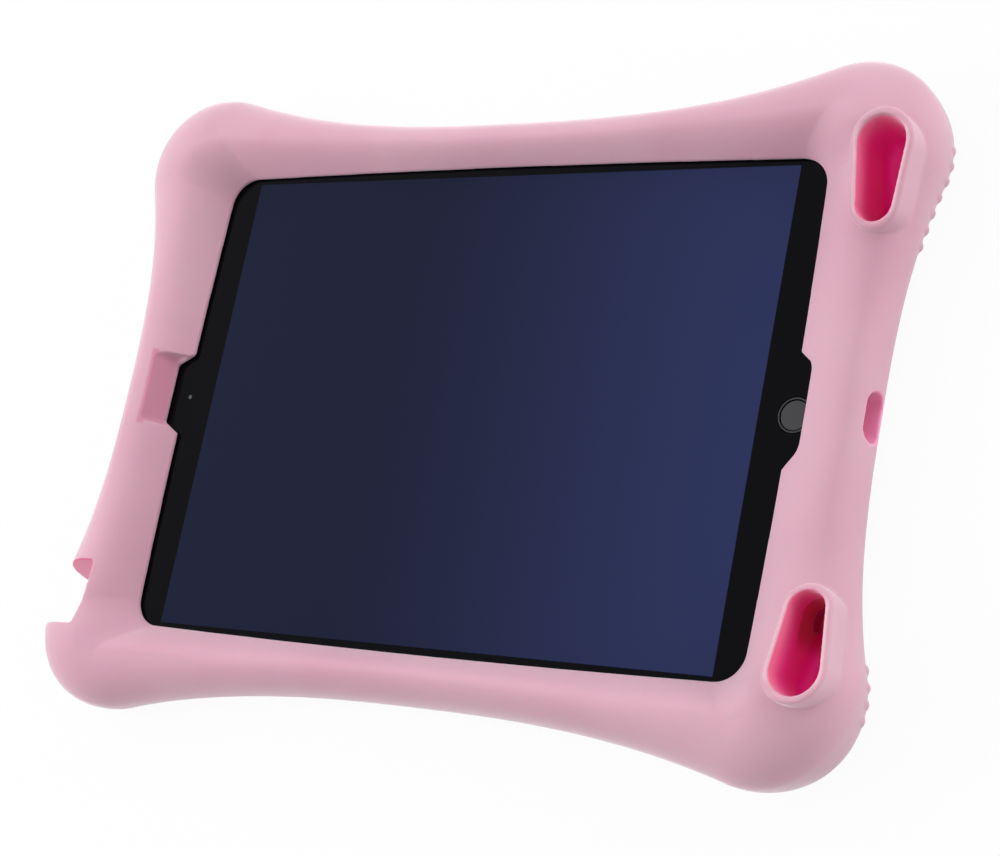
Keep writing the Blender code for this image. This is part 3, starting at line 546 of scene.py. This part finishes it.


# Paints the horns: a painted highlight on the bore's rim, painted glow and shade inside the bores and
# sound channels, and a painted shadow in the lower horn
def hornColours(finish, colour):
    wide, narrow = hornSettings["wide"], hornSettings["narrow"]
    way = wide - narrow
    fromX, fromY = finish.x - narrow.x, abs(finish.y) - narrow.y
    share = ((fromX * way.x + fromY * way.y) / way.length_squared).atLeast(0.0).atMost(1.0)
    gapX, gapY = fromX - share * way.x, fromY - share * way.y
    widen = hornSettings["wideRadius"] - hornSettings["narrowRadius"]
    reach = (gapX * gapX + gapY * gapY) ** 0.5 - hornSettings["narrowRadius"] - share * widen
    low, high = hornSettings["rim"][1], hornSettings["rim"][0]
    depth = low + share * (high - low) - finish.z
    # Painted highlight: a thin lighter line just inside the bore's rim
    highlight = ((1 - abs(reach - hornPaint["highlightAt"]).rise(*hornPaint["highlightWidth"]))
            * (1 - abs(depth).rise(*hornPaint["highlightDepth"])))
    inBore = (1 - reach.rise(*hornPaint["outline"])) * finish.z.rise(*hornPaint["foot"])
    # The sound channel's inside is painted with the deepest shade too
    behind = ((1 - finish.x.rise(narrow.x, narrow.x + hornPaint["channelMouth"]))
              * (1 - reach.rise(*hornPaint["channelReach"])))
    inChannel = (behind * finish.z.rise(*hornPaint["channelFoot"])
                 * (1 - finish.z.rise(*hornPaint["channelTop"])))
    colour = finish.mix(highlight * hornPaint["highlightShare"], colour, siliconeSettings["edge"])
    # Painted glow: a redder colour just inside the bore, standing in for light bounced and passing
    # through the silicone
    colour = finish.mix(inBore * depth.rise(*hornPaint["cavityGlow"]), colour, siliconeSettings["cavityGlow"])
    # Painted shade: darker and redder deeper in the bore
    colour = finish.mix((inBore * depth.rise(*hornPaint["deepestShade"])).atLeast(inChannel), colour,
                        siliconeSettings["deepestShade"])
    lower = -finish.y  # the painted shadow sits in the lower horn only
    mouth = (inBore * (1 - finish.z.rise(*hornPaint["mouthTop"]))
             * (1 - lower.rise(*hornPaint["mouthEnd"])) * lower.rise(*hornPaint["mouthSide"]))
    return finish.mix(mouth, colour, siliconeSettings["mouth"])


def slotGlowMask(finish):  # painted glow inside the charging slot: a lighter, redder pink
    low, high = cutSettings["port"]
    middle, half = (low[2] + high[2]) / 2, (high[2] - low[2]) / 2
    across = (abs(finish.y) - (high[1] - half)).atLeast(0.0)
    up = finish.z - middle
    reach = (across * across + up * up) ** 0.5 - half
    return (1 - reach.rise(*cutPaint["slotGlow"])) * finish.x.rise(*cutPaint["slotFrom"])


def rampShadeMask(finish):  # painted shade on the ramp beside the front camera: darker, redder pink
    low, high = cutSettings["scoop"]
    middle, half = (low[1] + high[1]) / 2, (high[1] - low[1]) / 2
    beside = abs(finish.y - middle) - half
    height = finish.z - low[2]
    slope = (cutSettings["cameraNotch"][0] - low[0]) / cutSettings["scoopRise"]
    away = finish.x + height * slope - cutSettings["cameraNotch"][0]
    return ((1 - beside.rise(*cutPaint["rampSide"])) * (1 - abs(away).rise(*cutPaint["rampAway"]))
            * height.rise(*cutPaint["rampFoot"]))


def jackWallShadeMask(finish):  # painted shade on the leaning wall of the headphone notch: darker, redder pink
    high = cutSettings["jack"][1]
    away = finish.y - high[1] - cutSettings["jackLean"] * (finish.z - cutSettings["jackLeanFrom"])
    return ((1 - abs(away).rise(*cutPaint["jackAway"]))
            * (1 - finish.x.rise(high[0] - cutPaint["jackEnd"], high[0])))


def siliconeFinish():
    finish = Finish("silicone", Sheen_Weight=0.80, Sheen_Roughness=0.35, Specular_IOR_Level=0.50,
                    Subsurface_Weight=0.35, Subsurface_Radius=(1.0, 0.35, 0.45),
                    Subsurface_Scale=0.0022)
    clouds = finish.noise(*siliconeSettings["clouds"]).rise(*siliconeSettings["cloudEdge"])
    colour = finish.mix(clouds, siliconeSettings["deep"], siliconeSettings["light"])
    # Painted shade on the camera ramp and the headphone notch's wall, painted glow in the charging slot
    colour = finish.mix(rampShadeMask(finish), colour, siliconeSettings["rampShade"])
    colour = finish.mix(jackWallShadeMask(finish), colour, siliconeSettings["jackWallShade"])
    colour = finish.mix(slotGlowMask(finish), colour, siliconeSettings["slotGlow"])
    finish.feed("Base Color", hornColours(finish, colour))
    finish.roughen(*siliconeSettings["roughness"], siliconeSettings["waves"])
    waves = siliconeSettings["waveHeight"] * finish.noise(siliconeSettings["waves"])
    finish.bump(finish.noise(siliconeSettings["grain"]) + waves, siliconeSettings["grainDepth"])
    return finish.material


glassSettings = {
    "border": (0.0014, 0.0014, 0.0026), "left": (0.0098, 0.0120, 0.0350),
    "right": (0.0240, 0.0330, 0.1050), "fade": (-0.4, 1.2), "display": (0.1039, 0.07795),
    "displayEdge": 0.0001, "camera": (-0.1140, 0.0003), "cameraRadius": 0.0008, "cameraEdge": 0.0002,
    "cameraColour": (0.100, 0.105, 0.110), "reflection": 0.060, "roughness": (0.045, 0.03),
    "waves": 30.0,
}


def glassFinish():
    finish = Finish("cover_glass", Specular_IOR_Level=glassSettings["reflection"])
    halfX, halfY = glassSettings["display"]
    border = (abs(finish.x) - halfX).atLeast(abs(finish.y) - halfY)
    blur = glassSettings["displayEdge"]
    # Painted light: the dark display grows lighter towards the right
    across = finish.x.rise(*(halfX * share for share in glassSettings["fade"]))
    display = finish.mix(across, glassSettings["left"], glassSettings["right"])
    colour = finish.mix(border.rise(-blur, blur), display, glassSettings["border"])
    cameraX, cameraY = glassSettings["camera"]
    fromX, fromY = finish.x - cameraX, finish.y - cameraY
    reach = (fromX * fromX + fromY * fromY) ** 0.5 - glassSettings["cameraRadius"]
    outside = reach.rise(-glassSettings["cameraEdge"], 0.0)
    finish.feed("Base Color", finish.mix(outside, glassSettings["cameraColour"], colour))
    finish.roughen(*glassSettings["roughness"], glassSettings["waves"])
    return finish.material


plainKinds = {  # sockets, share of the darker colour, then scales and depth of the surface
    "plastic": {"sockets": {"Specular_IOR_Level": 0.3}, "darker": 0.85, "clouds": 60.0, "waves": 140.0,
                "grain": 900.0, "grainDepth": 0.00002},
    "metal": {"sockets": {"Metallic": 1.0}, "darker": 0.9, "clouds": 90.0, "waves": 400.0,
              "grain": 1800.0, "grainDepth": 0.00001},
}
plainFinishes = {  # kind, colour, roughness
    "anodised_aluminium": ("metal", (0.30, 0.31, 0.33), 0.38),
    "steel_trim": ("metal", (0.22, 0.21, 0.20), 0.32),
    "button_trim": ("metal", (0.06, 0.06, 0.06), 0.30),
    "dark_plastic": ("plastic", (0.035, 0.035, 0.038), 0.45),
    "button_plastic": ("plastic", (0.048, 0.048, 0.051), 0.42),
    "circuit_board": ("plastic", (0.02, 0.07, 0.035), 0.50),
    "cell_foil": ("plastic", (0.05, 0.05, 0.055), 0.40),
}
plainClouds, plainRoughnessSpread = 3.0, 0.10
nodeFinishes = {
    "tablet_housing": "anodised_aluminium", "cover_glass": "cover_glass",
    "display_panel": "dark_plastic", "home_button": "button_plastic",
    "home_button_ring": "button_trim", "home_button_switch": "circuit_board",
    "power_button": "anodised_aluminium", "volume_up_button": "anodised_aluminium",
    "volume_down_button": "anodised_aluminium", "front_camera": "dark_plastic",
    "rear_camera": "dark_plastic", "rear_camera_lens": "cover_glass",
    "rear_camera_trim": "steel_trim", "charging_socket": "steel_trim",
    "headphone_socket": "dark_plastic", "upper_speaker": "dark_plastic",
    "lower_speaker": "dark_plastic", "left_battery": "cell_foil", "right_battery": "cell_foil",
    "logic_board": "circuit_board",
}


def plainFinish(name, kind, colour, roughness):
    settings = plainKinds[kind]
    finish = Finish(name, **settings["sockets"])
    darker = tuple(c * settings["darker"] for c in colour)
    clouds = finish.noise(settings["clouds"], plainClouds)
    finish.feed("Base Color", finish.mix(clouds, darker, colour))
    finish.roughen(roughness, plainRoughnessSpread, settings["waves"])
    finish.bump(finish.noise(settings["grain"]), settings["grainDepth"])
    return finish.material


case = buildCase()
case.data.materials.clear()
case.data.materials.append(siliconeFinish())
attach(case, mainBody)
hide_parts("silicone_case")

materials = {name: plainFinish(name, *settings) for name, settings in plainFinishes.items()}
materials["cover_glass"] = glassFinish()
for node, material in nodeFinishes.items():
    thing = frame["nodes"][node]
    thing.data.materials.clear()
    thing.data.materials.append(materials[material])
print("finishes made:", len(nodeFinishes))


# Floor, light and camera

stageSettings = {
    "floorSize": 6.0, "floorHeight": -0.0002, "floorColour": (0.85, 0.85, 0.85, 1.0), "shadow": 0.06,
    "world": 0.23, "worldColour": (1.0, 1.0, 1.0, 1.0),
}

lightSettings = (  # name, turn from +X, height above the floor in degrees, power
    ("low_right_light", 0.0, 12.0, 9.8),
    ("low_corner_light", 45.0, 12.0, 10.2),
    ("top_light", 90.0, 25.0, 3.5),
    ("top_left_light", 135.0, 40.0, 4.5),
    ("left_light", 180.0, 38.0, 16.0),
    ("lower_left_light", 225.0, 26.0, 5.5),
    ("over_light", 0.0, 90.0, 3.0),
)
lightDistance, lightSize = 1.6, 1.1

cameraSettings = {
    "place": (0.424307, -0.179776, 0.593949), "lens": 85.066, "sensor": 36.0, "nearest": 0.01,
    "right": (0.82943991, 0.19162665, -0.52469863),
    "up": (-0.02880565, 0.9527403, 0.30241717),
    "back": (0.55785272, -0.23572259, 0.79576077),
}


def whiteForCamera(nodes, shader, end, share):  # plain white, but only for the camera and reflections
    camera, glossy, through = (
        nodes.node("ShaderNodeLightPath", output=f"Is {ray} Ray")
        for ray in ("Camera", "Glossy", "Transmission"))
    shown = nodes.node("ShaderNodeMixShader", None, {
        0: camera.atLeast(glossy).atLeast(through) * share,
        1: Wire(nodes, shader.outputs[0]),
        2: nodes.node("ShaderNodeEmission"),
    })
    nodes.tree.links.new(shown.socket, nodes.tree.nodes[end].inputs["Surface"])


def buildFloor():
    shape = bmesh.new()
    bmesh.ops.create_grid(shape, x_segments=1, y_segments=1, size=stageSettings["floorSize"] / 2)
    floor = solid(shape, "floor")
    floor.location.z = stageSettings["floorHeight"]
    bpy.context.scene.collection.objects.link(floor)
    finish = Finish("floor", Base_Color=stageSettings["floorColour"], Roughness=0.9,
                    Specular_IOR_Level=0.1)
    whiteForCamera(finish, finish.main, "Material Output", 1 - stageSettings["shadow"])
    floor.data.materials.append(finish.material)


def buildWorld():
    world = bpy.data.worlds.new("studio")
    world.use_nodes = True
    background = world.node_tree.nodes["Background"]
    background.inputs["Color"].default_value = stageSettings["worldColour"]
    background.inputs["Strength"].default_value = stageSettings["world"]
    whiteForCamera(Nodes(world.node_tree), background, "World Output", 1.0)
    bpy.context.scene.world = world


def buildLights():
    for name, turn, height, power in lightSettings:
        turn, height = math.radians(turn), math.radians(height)
        place = Vector((math.cos(height) * math.cos(turn), math.cos(height) * math.sin(turn),
                        math.sin(height))) * lightDistance
        lamp = bpy.data.lights.new(name, "AREA")
        lamp.shape = "DISK"
        lamp.size = lightSize
        lamp.energy = power
        thing = bpy.data.objects.new(name, lamp)
        thing.location = place
        thing.rotation_euler = (-place).to_track_quat("-Z", "Y").to_euler()
        thing.visible_glossy = False
        bpy.context.scene.collection.objects.link(thing)


def buildCamera():
    lens = bpy.data.cameras.new("camera")
    lens.lens = cameraSettings["lens"]
    lens.sensor_width = cameraSettings["sensor"]
    lens.clip_start = cameraSettings["nearest"]
    camera = bpy.data.objects.new("camera", lens)
    axes = Matrix((cameraSettings["right"], cameraSettings["up"], cameraSettings["back"]))
    camera.matrix_world = Matrix.Translation(cameraSettings["place"]) @ axes.transposed().to_4x4()
    bpy.context.scene.collection.objects.link(camera)
    bpy.context.scene.camera = camera


buildFloor()
buildWorld()
buildLights()
buildCamera()
bpy.context.scene.view_settings.view_transform = "Standard"
print("stage built")
